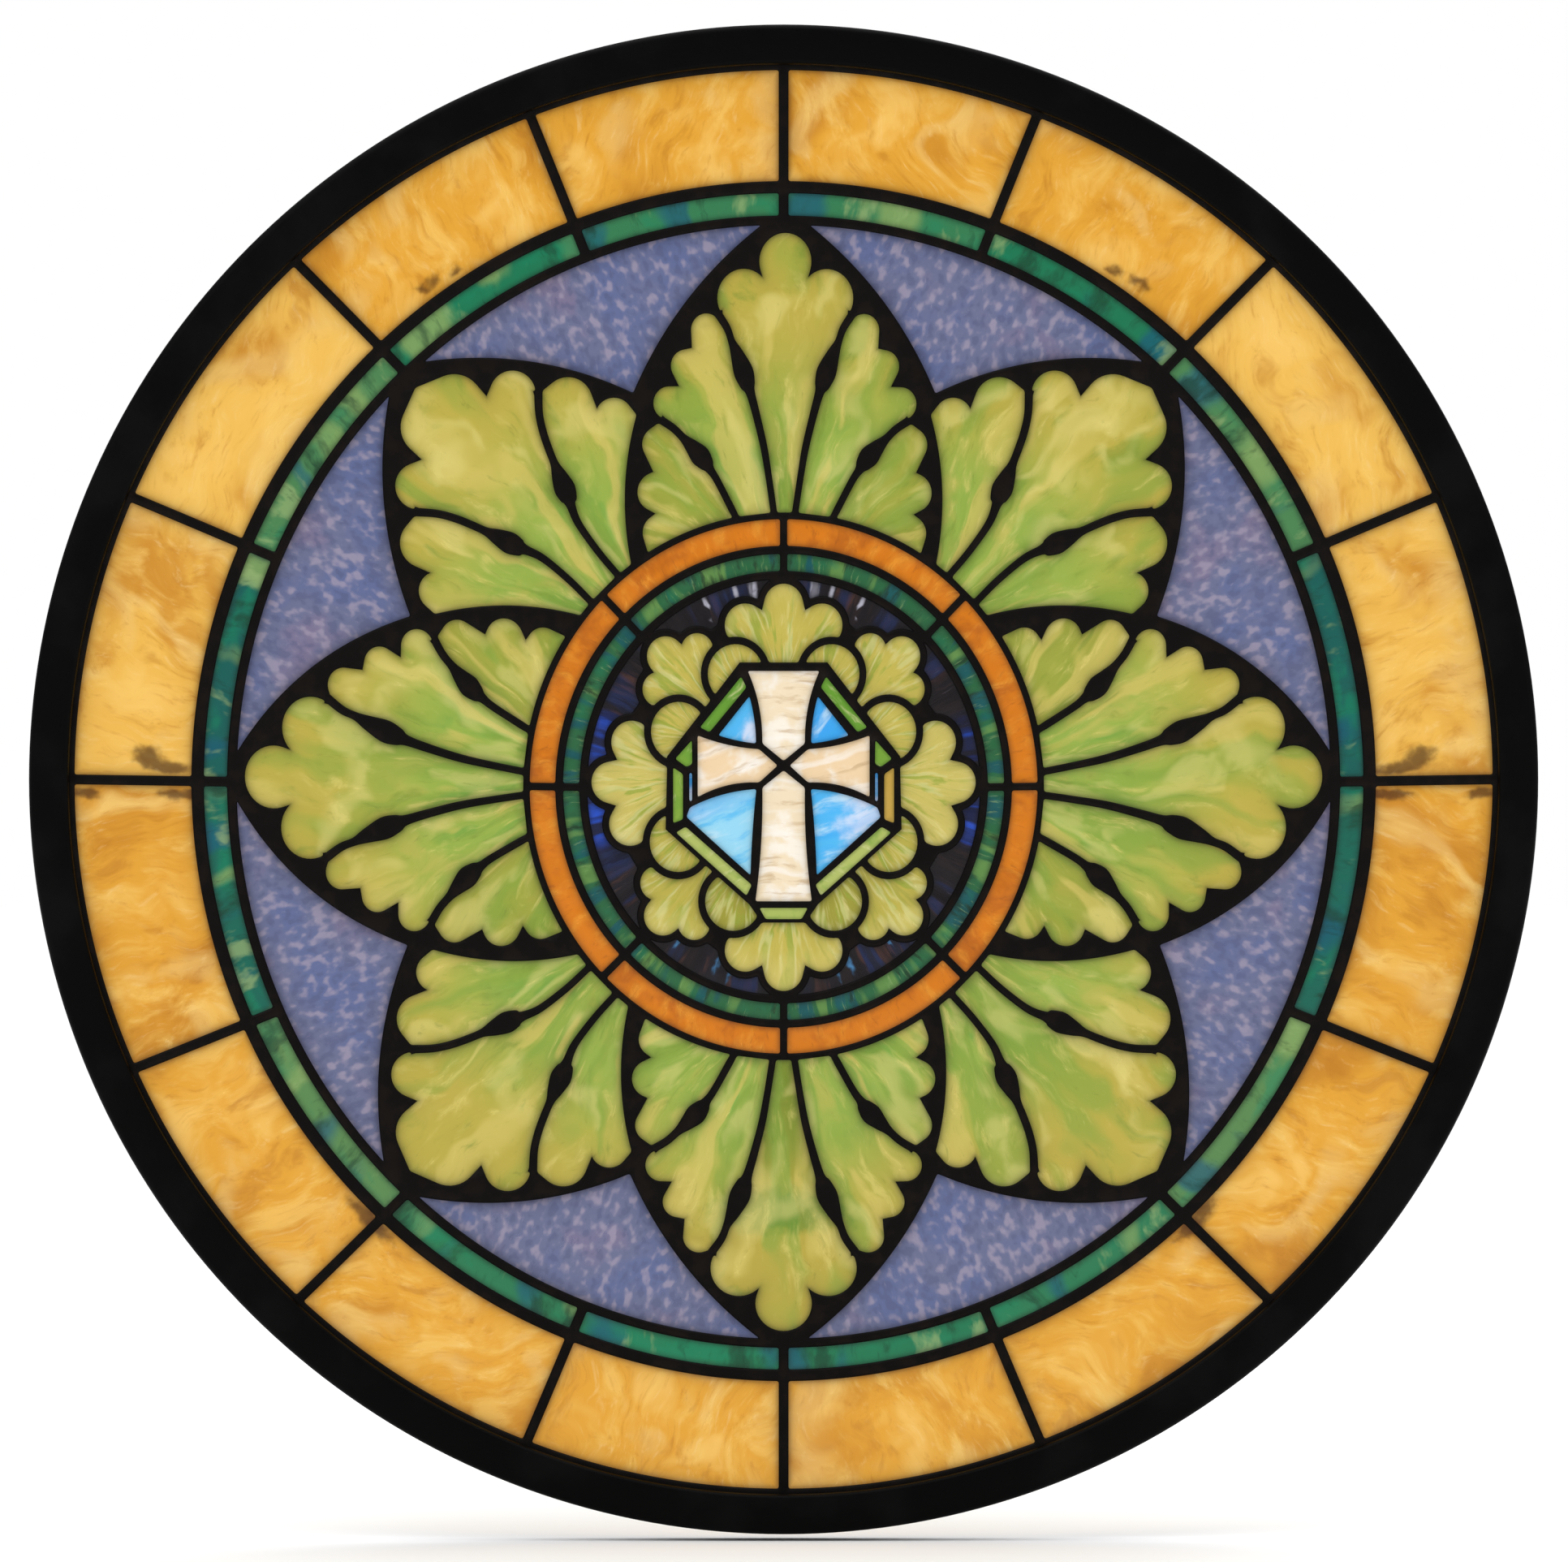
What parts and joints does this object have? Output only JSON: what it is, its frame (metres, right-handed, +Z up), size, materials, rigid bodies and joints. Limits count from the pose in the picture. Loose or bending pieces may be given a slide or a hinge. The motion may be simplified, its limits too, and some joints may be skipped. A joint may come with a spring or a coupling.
{
  "type": "round stained glass window",
  "caption": "Round leaded window in a black ring frame: amber and green outer rings, purple field, scalloped green leaves and a cross in a rosette.",
  "frame": {"origin": "middle of the round window, on the plane of the frame's back face", "axes": "+X to the right seen from the front, +Y from the front through to the back, +Z up"},
  "size_m": [0.914, 0.03, 0.914],
  "materials": {
    "frame_paint": "satin black paint",
    "lead": "dull dark lead with soldered joints",
    "amber_glass": "streaky opalescent",
    "green_glass": "streaky opalescent",
    "purple_glass": "mottled opalescent",
    "leaf_glass": "streaky opalescent",
    "orange_glass": "streaky opalescent",
    "teal_glass": "streaky opalescent",
    "dark_glass": "streaky, nearly opaque",
    "rosette_glass": "streaky opalescent",
    "cross_glass": "opalescent with fine wisps",
    "sky_glass": "streaky opalescent",
    "border_glass": "streaky opalescent"
  },
  "bodies": {
    "root": {"frame": "frame_paint", "lead_came": "lead", "amber_pane_01": "amber_glass", "amber_pane_02": "amber_glass", "amber_pane_03": "amber_glass", "amber_pane_04": "amber_glass", "amber_pane_05": "amber_glass", "amber_pane_06": "amber_glass", "amber_pane_07": "amber_glass", "amber_pane_08": "amber_glass", "amber_pane_09": "amber_glass", "amber_pane_10": "amber_glass", "amber_pane_11": "amber_glass", "amber_pane_12": "amber_glass", "amber_pane_13": "amber_glass", "amber_pane_14": "amber_glass", "amber_pane_15": "amber_glass", "amber_pane_16": "amber_glass", "green_pane_01": "green_glass", "green_pane_02": "green_glass", "green_pane_03": "green_glass", "green_pane_04": "green_glass", "green_pane_05": "green_glass", "green_pane_06": "green_glass", "green_pane_07": "green_glass", "green_pane_08": "green_glass", "green_pane_09": "green_glass", "green_pane_10": "green_glass", "green_pane_11": "green_glass", "green_pane_12": "green_glass", "green_pane_13": "green_glass", "green_pane_14": "green_glass", "green_pane_15": "green_glass", "green_pane_16": "green_glass", "purple_pane_01": "purple_glass", "purple_pane_02": "purple_glass", "purple_pane_03": "purple_glass", "purple_pane_04": "purple_glass", "purple_pane_05": "purple_glass", "purple_pane_06": "purple_glass", "purple_pane_07": "purple_glass", "purple_pane_08": "purple_glass", "leaf_glass_top": "leaf_glass", "leaf_glass_upper_left": "leaf_glass", "leaf_glass_left": "leaf_glass", "leaf_glass_lower_left": "leaf_glass", "leaf_glass_bottom": "leaf_glass", "leaf_glass_lower_right": "leaf_glass", "leaf_glass_right": "leaf_glass", "leaf_glass_upper_right": "leaf_glass", "orange_ring_glass": "orange_glass", "teal_ring_glass": "teal_glass", "dark_ring_glass": "dark_glass", "rosette_glass": "rosette_glass", "cross_glass": "cross_glass", "border_glass": "border_glass", "sky_pane_upper_right": "sky_glass", "sky_pane_upper_left": "sky_glass", "sky_pane_lower_right": "sky_glass", "sky_pane_lower_left": "sky_glass"}
  },
  "joints": []
}
